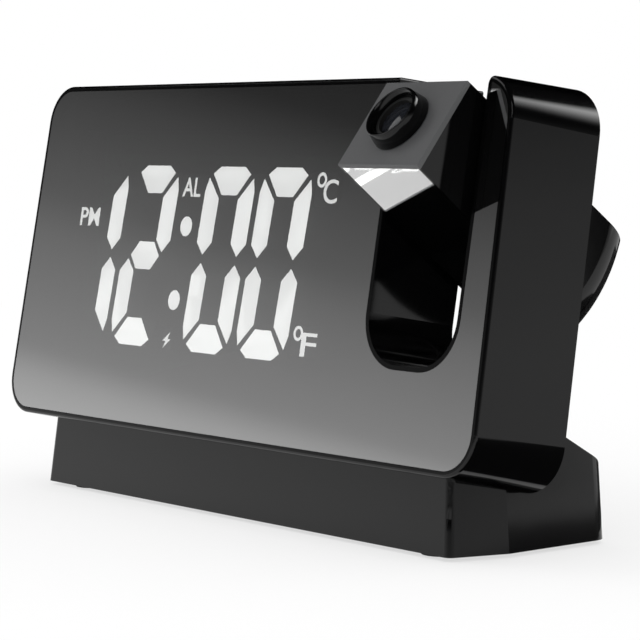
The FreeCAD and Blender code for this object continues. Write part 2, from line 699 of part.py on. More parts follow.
def projector_case():
    """Moulded case of the arm: hollow, open at the lens end, with a recess for its panel."""
    case = arm_block(0).common(below(flange_top()))
    case = case.cut(arm_cavity())
    case = case.cut(arm_panel_slab(ARM_PANEL_RIM, ARM_PANEL_T))
    seat = carrier_flange(FIT)
    case = case.cut(seat)
    for side in (-1, 1):
        start = V(side * (ARM_WIDTH / 2 - ARM_WALL - 1), 0, 0)
        case = case.cut(rod(PIN_R + PRESS_FIT, start, V(side * (ARM_WIDTH / 2 + 1), 0, 0)))
    return case.removeSplitter()


def projector_panel():
    """Mirror panel on the arm, flush with the clock face when the arm is stowed."""
    slab = arm_panel_slab(ARM_PANEL_RIM + 0.05, ARM_PANEL_T)
    return slab.common(arm_block(0)).common(below(flange_top()))


def lens_plate():
    """Satin end plate that the focus ring turns on."""
    plate = arm_block(0).cut(below(flange_top()))
    plate = plate.cut(rod(NECK_R + RUN_FIT + 0.1, V(0, 0, 0), V(0, 0, 2 * LENS_REACH)))
    outer = [e for e in plate.Edges if e.BoundBox.ZMin > LENS_REACH - 1e-6 and not e.Closed]
    return plate.makeChamfer(0.15, outer)


CARRIER_HALF_X = 10.4
CARRIER_HALF_Y = 8.2
CARRIER_WALL = 1.2
CARRIER_FLOOR = -21.0
CARRIER_NECK = 7.5
FLANGE_T = 1.6


def carrier_flange(grow):
    """Flange of the optics carrier, in the mouth of the case."""
    half_x = ARM_WIDTH / 2 - ARM_WALL + 0.7 - FIT + grow
    half_y = ARM_THICKNESS / 2 - ARM_WALL + 0.5 - FIT + grow
    front = -ARM_THICKNESS / 2 + ARM_PANEL_T + 0.6 + FIT - grow
    return box((-half_x, half_x), (front, half_y), (flange_top() - FLANGE_T, flange_top() + grow))


def optics_carrier():
    """Moulding that holds lamp, condenser and picture glass in line with the lens barrel."""
    barrel_outer = BARREL_R + BARREL_WALL
    square = box((-CARRIER_HALF_X, CARRIER_HALF_X), (-CARRIER_HALF_Y, CARRIER_HALF_Y),
                 (CARRIER_FLOOR, CARRIER_NECK))
    barrel = rod(barrel_outer, V(0, 0, CARRIER_NECK - 0.5), V(0, 0, flange_top()))
    carrier = square.fuse(barrel).fuse(carrier_flange(0))
    room = box((-CARRIER_HALF_X + CARRIER_WALL, CARRIER_HALF_X - CARRIER_WALL),
               (-CARRIER_HALF_Y + CARRIER_WALL, CARRIER_HALF_Y - CARRIER_WALL),
               (CARRIER_FLOOR - 1, CARRIER_NECK - CARRIER_WALL))
    carrier = carrier.cut(room)
    carrier = carrier.cut(rod(BARREL_R, V(0, 0, CARRIER_NECK - CARRIER_WALL - 1), V(0, 0, LENS_REACH)))
    return carrier.removeSplitter()


def picture_glass():
    """Small liquid-crystal glass that makes the projected figures."""
    half_x = CARRIER_HALF_X - CARRIER_WALL - 0.05
    half_y = CARRIER_HALF_Y - CARRIER_WALL - 0.05
    return box((-half_x, half_x), (-half_y, half_y), (-2.0, -0.2))


def lens_solid(radius, edge, crown_low, crown_high, middle):
    """Round lens, its axis upright, with a spherical crown or a flat on each face."""
    lens = rod(radius, V(0, 0, middle - edge / 2), V(0, 0, middle + edge / 2))
    for side, rise in ((-1, crown_low), (1, crown_high)):
        if rise > 0:
            ball_r = (radius ** 2 + rise ** 2) / (2 * rise)
            face = middle + side * edge / 2
            ball = Part.makeSphere(ball_r, V(0, 0, face + side * (rise - ball_r)))
            half_space = rod(radius, V(0, 0, face), V(0, 0, face + side * (rise + 1)))
            lens = lens.fuse(ball.common(half_space))
    return lens.removeSplitter()


def condenser_lens():
    """Lens that gathers the lamp's light onto the picture glass."""
    radius = CARRIER_HALF_Y - CARRIER_WALL - 0.05
    return lens_solid(radius, 1.6, 1.2, 1.2, -9.0)


def projector_board():
    """Board at the tail end of the optics carrier."""
    return box((-CARRIER_HALF_X, CARRIER_HALF_X), (-CARRIER_HALF_Y, CARRIER_HALF_Y),
               (CARRIER_FLOOR - BOARD_T, CARRIER_FLOOR))


def projector_lamp():
    """Lamp of the projector, standing on its board."""
    base = box((-3.5, 3.5), (-3.5, 3.5), (CARRIER_FLOOR, CARRIER_FLOOR + 1.0))
    dome = lens_solid(2.4, 0.6, 0.3, 1.4, CARRIER_FLOOR + 1.3)
    return base.fuse(dome)


def ring_top():
    """Height of the focus ring's mouth."""
    return LENS_REACH + RING_HEIGHT


def focus_ring():
    """Fluted ring with a chamfered mouth; its neck turns in the barrel and drives the cell."""
    top = ring_top()
    foot = LENS_REACH + RING_GAP
    bore = CELL_OUTER_R + RUN_FIT
    head = rod(RING_R, V(0, 0, foot), V(0, 0, top))
    rim = [e for e in head.Edges if e.Closed and abs(e.BoundBox.ZMin - top) < 1e-6]
    head = head.makeFillet(0.35, rim)
    notch = Part.makePolygon([V(RING_R - FLUTE_DEPTH, 0, foot), V(RING_R + 0.3, -0.45, foot),
                              V(RING_R + 0.3, 0.45, foot), V(RING_R - FLUTE_DEPTH, 0, foot)])
    groove = prism(notch, V(0, 0, RING_HEIGHT - RING_GAP - 1.2))
    grooves = []
    for i in range(RING_FLUTES):
        turned = groove.copy()
        turned.rotate(V(0, 0, 0), Z_AXIS, i * 360.0 / RING_FLUTES)
        grooves.append(turned)
    head = head.cut(grooves)
    neck = rod(NECK_R, V(0, 0, LENS_REACH - RING_NECK), V(0, 0, foot + 0.5))
    ring = head.fuse(neck)
    ring = ring.cut(rod(bore, V(0, 0, 0), V(0, 0, top + 1)))
    mouth = Part.makeCone(bore, bore + RING_LIP + 0.3, RING_LIP + 0.3, V(0, 0, top - RING_LIP))
    return ring.cut(mouth).removeSplitter()


def cell_top():
    """Height of the lens cell's front edge at mid focus."""
    return ring_top() - CELL_SET_BACK


def lens_cell():
    """Sliding tube that carries the projection lens inside the ring."""
    top = cell_top()
    cell = rod(CELL_OUTER_R, V(0, 0, top - CELL_LENGTH), V(0, 0, top))
    shelf = top - 1.0 - LENS_EDGE_T
    cell = cell.cut(rod(CELL_OUTER_R - CELL_WALL, V(0, 0, shelf), V(0, 0, top + 1)))
    cell = cell.cut(rod(CELL_OUTER_R - 2 * CELL_WALL, V(0, 0, 0), V(0, 0, top)))
    return cell.removeSplitter()


def projection_lens():
    """Front lens, seated on the cell's shelf."""
    middle = cell_top() - 1.0 - LENS_EDGE_T / 2
    return lens_solid(LENS_R, LENS_EDGE_T, 0, LENS_CROWN, middle)


def pivot_pin(side):
    """Hollow pin from inside the case through the slot wall; the lamp's wires run in it."""
    inner = ARM_WIDTH / 2 - ARM_WALL
    end = SLOT_WIDTH / 2 + WALL + PIN_TAIL
    head = rod(PIN_HEAD_R, V(side * (inner - PIN_HEAD_T), 0, 0), V(side * inner, 0, 0))
    shank = rod(PIN_R, V(side * (inner - 0.1), 0, 0), V(side * end, 0, 0))
    pin = head.fuse(shank)
    groove = tube(PIN_R + 1, PIN_R - 0.4, V(side * (SLOT_WIDTH / 2 + WALL + CLIP_GAP - 0.03), 0, 0),
                  V(side * (SLOT_WIDTH / 2 + WALL + CLIP_GAP + CLIP_T + 0.03), 0, 0))
    pin = pin.cut(groove)
    return pin.cut(rod(PIN_BORE_R, V(side * (inner - 3), 0, 0), V(side * (end + 1), 0, 0))).removeSplitter()


def pivot_washers():
    """Friction washers that fill the gap between arm and slot walls."""
    washers = []
    for side in (-1, 1):
        start = V(side * (ARM_WIDTH / 2 + 0.02), 0, 0)
        end = V(side * (SLOT_WIDTH / 2 - WASHER_GAP), 0, 0)
        washers.append(tube(WASHER_R, PIN_R + PRESS_FIT, start, end))
    return Part.makeCompound(washers)


def pivot_clips():
    """Spring clips in the pins' grooves, behind the slot walls."""
    clips = []
    for side in (-1, 1):
        near = SLOT_WIDTH / 2 + WALL + CLIP_GAP
        ring = tube(CLIP_R, PIN_R - 0.38, V(side * near, 0, 0), V(side * (near + CLIP_T), 0, 0))
        mouth = box((side * near - CLIP_T - 1, side * near + CLIP_T + 1), (-1.1, 1.1), (-CLIP_R - 1, 0))
        clips.append(ring.cut(mouth))
    return Part.makeCompound(clips)


def base_plan(height, inset, back_inset):
    """Plan outline of the base at one height, drawn in by its drafts and an inset."""
    rise = height - FOOT_GAP
    front_in = rise * math.tan(math.radians(BASE_FRONT_DRAFT)) + inset
    side_in = rise * math.tan(math.radians(BASE_SIDE_DRAFT)) + inset
    front = BASE_FRONT + front_in
    back = BASE_BACK - back_inset
    shoulder = BASE_FRONT + BASE_SHOULDER
    corners = [(BASE_FRONT_HALF - side_in, front), (BASE_SHOULDER_HALF - side_in, shoulder),
               (BASE_REAR_HALF - side_in, back), (-BASE_REAR_HALF + side_in, back),
               (-BASE_SHOULDER_HALF + side_in, shoulder), (-BASE_FRONT_HALF + side_in, front)]
    front_r = max(BASE_FRONT_R - inset, 0.3)
    rear_r = BASE_REAR_R - inset
    radii = [front_r, 0, rear_r, rear_r, 0, front_r]
    return round_wire(corners, radii, lambda a, b: V(a, b, height))


def base_profile(drop):
    """Side outline of the base: cradle for the body, then the top sloping down to the back."""
    sole_front = to_world(V(0, 0, 0))
    sole_back = to_world(V(0, BODY_DEPTH, -DRAFT * BODY_DEPTH))
    slope = math.tan(math.radians(BASE_TOP_SLOPE))
    spine = math.tan(math.radians(LEAN))
    rim = FOOT_GAP + BASE_RIM_HEIGHT
    back = BASE_BACK - drop
    sole = (sole_back.z - sole_front.z) / (sole_back.y - sole_front.y)
    sole_z = lambda y: sole_front.z + sole * (y - sole_front.y) - drop * math.hypot(1, sole)
    spine_y = lambda z: sole_back.y + drop * math.hypot(1, spine) + spine * (z - sole_back.z)
    top_z = lambda y: rim + slope * (BASE_BACK - y) - drop * math.hypot(1, slope)
    heel_y = sole_back.y
    for _ in range(20):
        heel_y = spine_y(sole_z(heel_y))
    crest_z = rim
    for _ in range(60):
        crest_z = 0.5 * (crest_z + top_z(spine_y(crest_z)))
    low = FOOT_GAP - 1
    front = sole_front.y - 1
    corners = [(front, low), (back, low), (back, top_z(back)), (spine_y(crest_z), crest_z),
               (heel_y, sole_z(heel_y)), (front, sole_z(front))]
    radii = [0, 0, BASE_TOP_R - drop, 0.4, 0, 0]
    far = BASE_SHOULDER_HALF + 5
    wire = round_wire(corners, radii, lambda a, b: V(-far, a, b))
    return prism(wire, V(2 * far, 0, 0))


def base_block(inset, low):
    """Solid of the base between a height and its cradle and sloping top."""
    high = FACE_LIFT + BASE_DEPTH / 2
    wires = [base_plan(low, inset, inset), base_plan(high, inset, inset)]
    return Part.makeLoft(wires, True, True).common(base_profile(inset))


def base_boss_spots():
    """Where the bottom plate's screws go."""
    return [(side * BASE_BOSS_X, y) for side in (-1, 1)
            for y in (BASE_FRONT + BASE_BOSS_Y, BASE_BACK - BASE_BOSS_Y)]


def socket_hole(size, x):
    """Hole in the back wall of the base for a socket."""
    z = PORT_BOARD_Z + BOARD_T
    return box((x - size[0] / 2 - SOCKET_FIT, x + size[0] / 2 + SOCKET_FIT),
               (BASE_BACK - BASE_WALL - 1, BASE_BACK + 1),
               (z - SOCKET_FIT, z + size[1] + SOCKET_FIT))


def base_shell():
    """Hollow base with the cradle that the body sits in, and bosses for the plate."""
    outer = base_block(0, FOOT_GAP)
    inner = base_block(BASE_WALL, FOOT_GAP - 0.5)
    shell = outer.cut(inner)
    for x, y in base_boss_spots():
        post = rod(BOSS_R, V(x, y, FOOT_GAP + PLATE_T), V(x, y, FACE_LIFT + BASE_DEPTH))
        shell = shell.fuse(post.common(outer))
        shell = shell.cut(rod(SCREW_R, V(x, y, FOOT_GAP), V(x, y, FOOT_GAP + SCREW_LENGTH)))
    for side in (-1, 1):
        foot = V(side * MOUNT_X, PIVOT_DEPTH, 0)
        hole = rod(SCREW_R + FIT, foot - Z_AXIS * 8, foot + Z_AXIS * 2)
        shell = shell.cut(lean_back(hole))
    cable = rod(HARNESS_HOLE_R, V(0, PIVOT_DEPTH, -8), V(0, PIVOT_DEPTH, 2))
    shell = shell.cut(lean_back(cable))
    shell = shell.cut(socket_hole(USB_A, USB_A_X)).cut(socket_hole(USB_C, USB_C_X))
    for x in (PORT_BOARD_LEFT + 3.5, PORT_BOARD_RIGHT - 3.5):
        rail = box((x - 2, x + 2), (BASE_BACK - PORT_BOARD_DEPTH, BASE_BACK - BASE_WALL + 0.5),
                   (PORT_BOARD_Z + BOARD_T, PORT_BOARD_Z + BOARD_T + 2.4))
        shell = shell.fuse(rail.common(outer))
    return shell.removeSplitter()


def base_plate():
    """Bottom plate set into the base, with sounder grille, cell door hole and foot recesses."""
    inset = BASE_WALL + PLATE_FIT
    low = FOOT_GAP + 0.3
    high = FOOT_GAP + PLATE_T
    plate = prism(base_plan(high, inset, inset), V(0, 0, low - high))
    for x, y in base_boss_spots():
        plate = plate.cut(rod(SCREW_R + PRESS_FIT, V(x, y, 0), V(x, y, 9)))
        plate = plate.cut(rod(SCREW_HEAD_R + FIT, V(x, y, 0), V(x, y, low + 1.0)))
    for x, y in foot_spots():
        plate = plate.cut(rod(FOOT_R + FIT, V(x, y, 0), V(x, y, low + FOOT_SINK)))
    door_x, door_y = cell_spot()
    plate = plate.cut(rod(DOOR_R + DOOR_GAP, V(door_x, door_y, 0), V(door_x, door_y, 9)))
    for turn in (-DOOR_SWING - 1, 179 - DOOR_SWING):
        notch = Part.makeCylinder(DOOR_R + DOOR_LUG + 0.2, 9, V(door_x, door_y, 0), Z_AXIS, DOOR_LUG_ANGLE + 2)
        notch.rotate(V(door_x, door_y, 0), Z_AXIS, turn)
        plate = plate.cut(notch)
    sound_x, sound_y = sounder_spot()
    for i in range(-2, 3):
        reach = math.sqrt((SOUNDER_R * 0.8) ** 2 - (i * 3.0) ** 2)
        plate = plate.cut(box((sound_x - reach, sound_x + reach), (sound_y + i * 3 - 0.7, sound_y + i * 3 + 0.7),
                              (0, 9)))
    return plate.removeSplitter()


def foot_spots():
    """Middle of each rubber foot."""
    return [(side * FOOT_X, y) for side in (-1, 1)
            for y in (BASE_FRONT + FOOT_INSET, BASE_BACK - FOOT_INSET)]


def cell_spot():
    """Middle of the coin cell."""
    return CELL_X, BASE_FRONT + CELL_Y


def sounder_spot():
    """Middle of the sounder."""
    return SOUNDER_X, BASE_FRONT + SOUNDER_Y


def rubber_feet():
    """Four rubber pads let into the bottom plate."""
    feet = []
    for x, y in foot_spots():
        pad = rod(FOOT_R, V(x, y, 0), V(x, y, FOOT_GAP + 0.3 + FOOT_SINK))
        rim = [e for e in pad.Edges if e.Closed and e.BoundBox.ZMax < 1e-6]
        feet.append(pad.makeChamfer(0.3, rim))
    return Part.makeCompound(feet)


def base_screws():
    """Screws that hold the bottom plate."""
    screws = []
    low = FOOT_GAP + 0.3
    for x, y in base_boss_spots():
        head = rod(SCREW_HEAD_R, V(x, y, low + 0.1), V(x, y, low + 1.0))
        shank = rod(SCREW_R - PRESS_FIT, V(x, y, low + 0.9), V(x, y, FOOT_GAP + SCREW_LENGTH - 0.5))
        screws.append(head.fuse(shank))
    return Part.makeCompound(screws)


def mount_screws():
    """Two screws from inside the base up into the body."""
    screws = []
    for side in (-1, 1):
        x = side * MOUNT_X
        seat = -DRAFT * PIVOT_DEPTH - BASE_WALL - 0.35
        head = rod(SCREW_HEAD_R, V(x, PIVOT_DEPTH, seat - SCREW_HEAD_T), V(x, PIVOT_DEPTH, seat))
        shank = rod(SCREW_R - PRESS_FIT, V(x, PIVOT_DEPTH, seat - 0.1), V(x, PIVOT_DEPTH, MOUNT_BOSS_HEIGHT - 1))
        screws.append(head.fuse(shank))
    return Part.makeCompound(screws)


def port_board():
    """Board that carries both sockets, on the rails at the back of the base."""
    return box((PORT_BOARD_LEFT, PORT_BOARD_RIGHT), (BASE_BACK - PORT_BOARD_DEPTH, BASE_BACK - BASE_WALL - 0.2),
               (PORT_BOARD_Z, PORT_BOARD_Z + BOARD_T))


def socket(size, tongue, x):
    """Metal socket shell, open to the back, with its contact tongue."""
    low = PORT_BOARD_Z + BOARD_T
    mouth = BASE_BACK - SOCKET_SET_IN
    x_pair = (x - size[0] / 2, x + size[0] / 2)
    shell = box(x_pair, (mouth - size[2], mouth), (low, low + size[1]))
    hollow = box((x_pair[0] + SOCKET_WALL, x_pair[1] - SOCKET_WALL), (mouth - size[2] + 1.0, mouth + 1),
                 (low + SOCKET_WALL, low + size[1] - SOCKET_WALL))
    middle = low + size[1] / 2
    blade = box((x - tongue[0] / 2, x + tongue[0] / 2), (mouth - size[2] + 0.5, mouth - size[2] + 1 + tongue[2]),
                (middle - tongue[1] / 2, middle + tongue[1] / 2))
    return shell.cut(hollow).fuse(blade)


def charge_socket():
    """Charging socket for a telephone."""
    raised = (USB_A_TONGUE[0], USB_A_TONGUE[1], USB_A_TONGUE[2])
    return socket(USB_A, raised, USB_A_X)


def power_inlet():
    """Inlet for the supply lead."""
    return socket(USB_C, USB_C_TONGUE, USB_C_X)


def sounder():
    """Alarm sounder over the grille of the bottom plate."""
    x, y = sounder_spot()
    floor = FOOT_GAP + PLATE_T
    can = rod(SOUNDER_R, V(x, y, floor), V(x, y, floor + SOUNDER_T))
    return can.cut(rod(SOUNDER_R - 1.2, V(x, y, floor - 1), V(x, y, floor + 0.8)))


def cell_holder():
    """Cup over the coin cell, standing on the bottom plate."""
    x, y = cell_spot()
    floor = FOOT_GAP + PLATE_T
    room = DOOR_R + DOOR_LUG + 0.4
    high = floor + DOOR_LUG_T + 0.6 + CELL_T + HOLDER_WALL
    cup = rod(room + HOLDER_WALL, V(x, y, floor), V(x, y, high))
    cup = cup.cut(rod(room, V(x, y, floor - 1), V(x, y, floor + DOOR_LUG_T + 0.4)))
    return cup.cut(rod(CELL_R + 0.3, V(x, y, floor - 1), V(x, y, high - HOLDER_WALL)))


def coin_cell():
    """Backup coin cell with its stepped rim."""
    x, y = cell_spot()
    high = FOOT_GAP + PLATE_T + DOOR_LUG_T + 0.6 + CELL_T
    can = rod(CELL_R, V(x, y, high - CELL_T), V(x, y, high - 0.5))
    cap = rod(CELL_R - 1.4, V(x, y, high - 0.6), V(x, y, high - 0.1))
    return can.fuse(cap).removeSplitter()


def battery_door():
    """Round door that turns on two lugs behind the bottom plate."""
    x, y = cell_spot()
    low = FOOT_GAP + 0.3
    inside = FOOT_GAP + PLATE_T + 0.1
    disc = rod(DOOR_R, V(x, y, low), V(x, y, inside + DOOR_LUG_T))
    lug = rod(DOOR_R + DOOR_LUG, V(x, y, inside), V(x, y, inside + DOOR_LUG_T))
    wedges = []
    for turn in (0, 180):
        wedge = Part.makeCylinder(DOOR_R + DOOR_LUG, DOOR_LUG_T, V(x, y, inside), Z_AXIS, DOOR_LUG_ANGLE)
        wedge.rotate(V(x, y, 0), Z_AXIS, turn)
        wedges.append(wedge.common(lug))
    door = disc.fuse(wedges)
    door = door.cut(box((x - COIN_SLOT[0] / 2, x + COIN_SLOT[0] / 2), (y - COIN_SLOT[1] / 2, y + COIN_SLOT[1] / 2),
                        (low - 1, low + COIN_SLOT[2])))
    return door.removeSplitter()


def temperature_sensor():
    """Thermistor bead at the vents of the rear cover, on the main board."""
    x = VENT_X
    z = MAIN_BOARD_LOW + 6
    bead = Part.makeSphere(1.1, V(x, MAIN_BOARD_BACK + 2.4, z))
    leads = [box((x - 0.8 + s, x - 0.4 + s), (MAIN_BOARD_BACK, MAIN_BOARD_BACK + 2.4), (z - 0.2, z + 0.2))
             for s in (0, 1.2)]
    return bead.fuse(leads)


def display_ribbon():
    """Flat ribbon that folds from the display board to the main board."""
    z = (MAIN_BOARD_LOW + MAIN_BOARD_HIGH) / 2
    x = MAIN_BOARD_RIGHT
    low = DISPLAY_BOARD_BACK
    high = MAIN_BOARD_FRONT
    span = high - low
    bulge = x + 1.0 + span / 2
    outer_arc = [V(x + 1, high, z), V(bulge, (low + high) / 2, z), V(x + 1, low, z)]
    inner_arc = [V(x + 1, low + 0.3, z), V(bulge - 0.3, (low + high) / 2, z), V(x + 1, high - 0.3, z)]
    edges = [Part.LineSegment(V(x - 6, high, z), outer_arc[0]).toShape(), Part.Arc(*outer_arc).toShape(),
             Part.LineSegment(outer_arc[2], V(x - 6, low, z)).toShape(),
             Part.LineSegment(V(x - 6, low, z), V(x - 6, low + 0.3, z)).toShape(),
             Part.LineSegment(V(x - 6, low + 0.3, z), inner_arc[0]).toShape(), Part.Arc(*inner_arc).toShape(),
             Part.LineSegment(inner_arc[2], V(x - 6, high - 0.3, z)).toShape(),
             Part.LineSegment(V(x - 6, high - 0.3, z), V(x - 6, high, z)).toShape()]
    return prism(Part.Wire(edges), V(0, 0, 14))


def build():
    """Every piece by name, at rest, with the face's bottom edge over y = 0."""
    leaning = {
        "body_shell": body_shell(),
        "mirror_panel": mirror_panel(),
        "segment_mask": segment_mask(),
        "segment_diffusers": Part.makeCompound(light_cells(PANEL_T, PANEL_T + DIFFUSER_T, DIFFUSER_FIT)),
        "icon_diffusers": Part.makeCompound(icon_cells(PANEL_T, PANEL_T + DIFFUSER_T, DIFFUSER_FIT)),
        "display_leds": display_leds(),
        "display_board": display_board(),
        "display_ribbon": display_ribbon(),
        "main_board": main_board(),
        "board_screws": board_screws(),
        "key_switches": key_switches(),
        "snooze_switch": snooze_switch(),
        "temperature_sensor": temperature_sensor(),
        "rear_cover": rear_cover(),
        "cover_screws": cover_screws(),
        "snooze_bar": snooze_bar(),
        "mount_screws": mount_screws(),
    }
    for index, name in enumerate(BUTTON_NAMES):
        leaning["button_" + name] = rear_button(index)
    tilted = {
        "projector_case": projector_case(),
        "projector_panel": projector_panel(),
        "lens_plate": lens_plate(),
        "optics_carrier": optics_carrier(),
        "picture_glass": picture_glass(),
        "condenser_lens": condenser_lens(),
        "projector_board": projector_board(),
        "projector_lamp": projector_lamp(),
        "focus_ring": focus_ring(),
        "lens_cell": lens_cell(),
        "projection_lens": projection_lens(),
        "pivot_pin_left": pivot_pin(-1),
        "pivot_pin_right": pivot_pin(1),
        "pivot_washers": pivot_washers(),
        "pivot_clips": pivot_clips(),
    }
    upright = {
        "base_shell": base_shell(),
        "base_plate": base_plate(),
        "base_screws": base_screws(),
        "rubber_feet": rubber_feet(),
        "port_board": port_board(),
        "charge_socket": charge_socket(),
        "power_inlet": power_inlet(),
        "sounder": sounder(),
        "cell_holder": cell_holder(),
        "coin_cell": coin_cell(),
        "battery_door": battery_door(),
    }
    pieces = {name: lean_back(shape) for name, shape in leaning.items()}
    pieces.update({name: tilt_arm(shape) for name, shape in tilted.items()})
    pieces.update(upright)
    return pieces


def main():
    """Build the pieces, centre them on the origin and write one file for each."""
    os.makedirs("parts", exist_ok=True)
    pieces = build()
    span = FreeCAD.BoundBox()
    for shape in pieces.values():
        span.add(shape.optimalBoundingBox(False, False))
    shift = V(0, -span.Center.y, 0)
    for name, shape in pieces.items():
        shape.translate(shift)
        shape.exportStep(os.path.join("parts", name + ".step"))
        print("%-20s solids %3d faces %4d volume %9.1f valid %s" % (
            name, len(shape.Solids), len(shape.Faces), shape.Volume, shape.isValid()))
    pivot = to_world(V(SLOT_X, PIVOT_DEPTH, PIVOT_HEIGHT)) + shift
    tilt = math.radians(ARM_TILT - LEAN)
    print("shift %.6f" % shift.y)
    print("pivot", [round(v, 4) for v in pivot])
    print("lens axis", [0.0, round(-math.sin(tilt), 6), round(math.cos(tilt), 6)])
    print("cell middle", [round(cell_spot()[0], 4), round(cell_spot()[1] + shift.y, 4)])
    print("whole", [round(v, 3) for v in (span.XMin, span.XMax, span.YMin + shift.y,
                                          span.YMax + shift.y, span.ZMin, span.ZMax)])


main()
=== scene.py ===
"""Projection alarm clock in Blender: finishes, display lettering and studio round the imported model.

Metres, +Z up, the clock face towards -Y, the origin in the middle of the base's footprint.
"""
import math

import bmesh
import bpy
from mathutils import Matrix, Vector


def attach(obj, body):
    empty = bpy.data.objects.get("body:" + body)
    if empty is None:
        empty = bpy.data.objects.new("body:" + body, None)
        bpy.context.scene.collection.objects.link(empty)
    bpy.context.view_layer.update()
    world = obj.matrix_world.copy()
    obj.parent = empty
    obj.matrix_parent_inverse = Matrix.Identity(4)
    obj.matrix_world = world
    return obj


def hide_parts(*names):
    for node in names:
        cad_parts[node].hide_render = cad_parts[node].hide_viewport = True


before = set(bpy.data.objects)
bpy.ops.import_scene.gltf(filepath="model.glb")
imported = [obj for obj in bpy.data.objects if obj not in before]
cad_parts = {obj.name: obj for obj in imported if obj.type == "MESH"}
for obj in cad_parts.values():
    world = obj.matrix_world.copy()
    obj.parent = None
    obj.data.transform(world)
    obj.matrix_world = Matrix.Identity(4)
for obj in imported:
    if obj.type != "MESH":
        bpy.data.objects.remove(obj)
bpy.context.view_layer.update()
MM = 0.001


# Shell of the clock: one black high-gloss moulding, with the slot walls and the rim round the
# panel in it.  The tool is polished, so it shows only a faint ripple and some fine dust.

class Shade:
    """An output inside a finish; arithmetic on it adds Math nodes."""

    def __init__(self, finish, socket):
        self.finish = finish
        self.socket = socket

    def math(self, operation, first, second):
        return self.finish.node("ShaderNodeMath", {"operation": operation}, {0: first, 1: second})

    def __add__(self, other):
        return self.math("ADD", self, other)

    def __radd__(self, other):
        return self.math("ADD", other, self)

    def __sub__(self, other):
        return self.math("SUBTRACT", self, other)

    def __rsub__(self, other):
        return self.math("SUBTRACT", other, self)

    def __mul__(self, other):
        return self.math("MULTIPLY", self, other)

    def __rmul__(self, other):
        return self.math("MULTIPLY", other, self)

    def __truediv__(self, other):
        return self.math("DIVIDE", self, other)

    def between(self, low, high):
        """0 below low, 1 above high and smooth between them."""
        return self.finish.node("ShaderNodeMapRange", {"interpolation_type": "SMOOTHSTEP"},
                                {0: self, 1: low, 2: high})


class Finish:
    """A material, or the world, built node by node."""

    def __init__(self, name, block=None):
        self.block = block or bpy.data.materials.new(name)
        self.block.use_nodes = True
        self.tree = self.block.node_tree
        self.tree.nodes.clear()

    def node(self, kind, settings=None, values=None, out=0):
        """Adds one node: its settings first, then the values or links of its sockets."""
        made = self.tree.nodes.new(kind)
        for key, value in (settings or {}).items():
            if key == "stops":
                while len(made.color_ramp.elements) < len(value):
                    made.color_ramp.elements.new(0.5)
                for element, (place, colour) in zip(made.color_ramp.elements, value):
                    element.position = place
                    element.color = (*colour, 1)
            else:
                setattr(made, key, value)
        for key, value in (values or {}).items():
            if isinstance(value, Shade):
                self.tree.links.new(value.socket, made.inputs[key])
            else:
                made.inputs[key].default_value = value
        return Shade(self, made.outputs[out]) if made.outputs else None

    def place(self):
        """Position on the piece, in metres."""
        return self.node("ShaderNodeTexCoord", out="Object")

    def grain(self, per_mm, detail=2.0, stretch=None):
        """Noise from 0 to 1 with about per_mm cells in a millimetre."""
        spot = self.place()
        if stretch:
            spot = self.node("ShaderNodeVectorMath", {"operation": "MULTIPLY"}, {0: spot, 1: stretch})
        return self.node("ShaderNodeTexNoise", {}, {"Vector": spot, "Scale": per_mm / MM, "Detail": detail})

    def mix(self, mask, low, high):
        """Colour that goes from low to high with the mask."""
        return self.node("ShaderNodeMix", {"data_type": "RGBA"},
                         {0: mask, 6: (*low, 1), 7: (*high, 1)}, out=2)

    def relief(self, height, depth_mm, softness=1.0):
        """Surface relief of a height field from 0 to 1."""
        return self.node("ShaderNodeBump", {},
                         {"Height": height, "Distance": depth_mm * MM, "Strength": softness})

    def skin(self, **sockets):
        """Closes the material with one surface shader."""
        names = {key.replace("_", " ").title().replace("Ior", "IOR"): v for key, v in sockets.items()}
        shader = self.node("ShaderNodeBsdfPrincipled", {}, names)
        self.node("ShaderNodeOutputMaterial", {}, {"Surface": shader})
        return self.block


def dress(material, *nodes):
    """Puts a finish on CAD pieces."""
    for name in nodes:
        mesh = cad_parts[name].data
        mesh.materials.clear()
        mesh.materials.append(material)


def dress_some(material, node, chosen):
    """Puts a second finish on the polygons of a piece that the test chooses."""
    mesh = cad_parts[node].data
    mesh.materials.append(material)
    for face in mesh.polygons:
        if chosen(face):
            face.material_index = len(mesh.materials) - 1


def gloss_black(name, shade, roughness):
    """Polished black moulding with ripple, dust and a trace of handling."""
    finish = Finish(name)
    ripple = finish.grain(0.12, 1.0)
    dust = finish.grain(2.4, 3.0).between(0.70, 0.86)
    wiped = finish.grain(0.035, 3.0)
    return finish.skin(
        base_color=finish.mix(dust * 0.5 + wiped * 0.3, shade, [2.0 * c + 0.001 for c in shade]),
        roughness=roughness + dust * 0.12 + wiped * 0.04,
        normal=finish.relief(ripple, 0.010),
        specular_ior_level=0.29)


SHELL_BLACK = (0.0010, 0.0010, 0.0011)
dress(gloss_black("shell_gloss", SHELL_BLACK, 0.07), "body_shell")

# Half mirror: the 1.8 mm acrylic front and the strip on the arm, both metal-coated behind, so
# that they look like dark mirrors and let the lit figures through.


def half_mirror(name, coating, see_through):
    """Coated acrylic: part mirror, part window, with a faint cast ripple and specks."""
    finish = Finish(name)
    wave = finish.grain(0.018, 1.0)
    speck = finish.grain(1.9, 2.0).between(0.74, 0.86)
    haze = finish.grain(0.03, 4.0)
    return finish.skin(
        base_color=finish.mix(haze, [0.96 * c for c in coating], coating),
        metallic=1.0,
        roughness=0.03 + speck * 0.12 + haze * 0.02,
        normal=finish.relief(wave, 0.006),
        alpha=1.0 - see_through)


